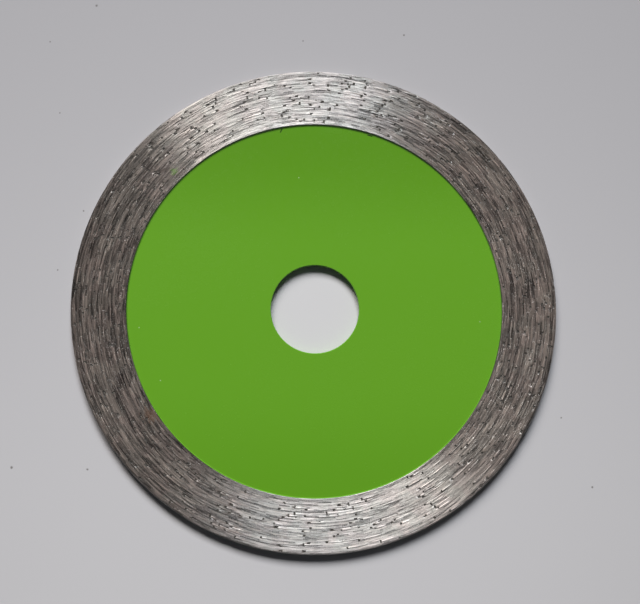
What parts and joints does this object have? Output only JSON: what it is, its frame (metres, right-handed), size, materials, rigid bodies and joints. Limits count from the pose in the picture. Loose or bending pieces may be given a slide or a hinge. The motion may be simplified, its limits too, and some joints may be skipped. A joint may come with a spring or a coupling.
{
  "type": "diamond tile blade",
  "caption": "Flat round saw blade for ceramic tile: a painted steel disc with a plain spindle bore inside a thicker continuous sintered diamond rim.",
  "frame": {"origin": "centre of the bore, half way through the blade's thickness", "axes": "+Z along the spindle, out of the face that the picture shows. X and Y lie in the blade, which is round."},
  "size_m": [0.11, 0.11, 0.0022],
  "materials": {
    "painted_steel": "satin green enamel over flat steel sheet",
    "sintered_metal": "dressed sintered bond, turned in circles, with pits and raised tails behind its grains"
  },
  "bodies": {
    "root": {"core_plate": "painted_steel", "diamond_rim": "sintered_metal"}
  },
  "joints": []
}
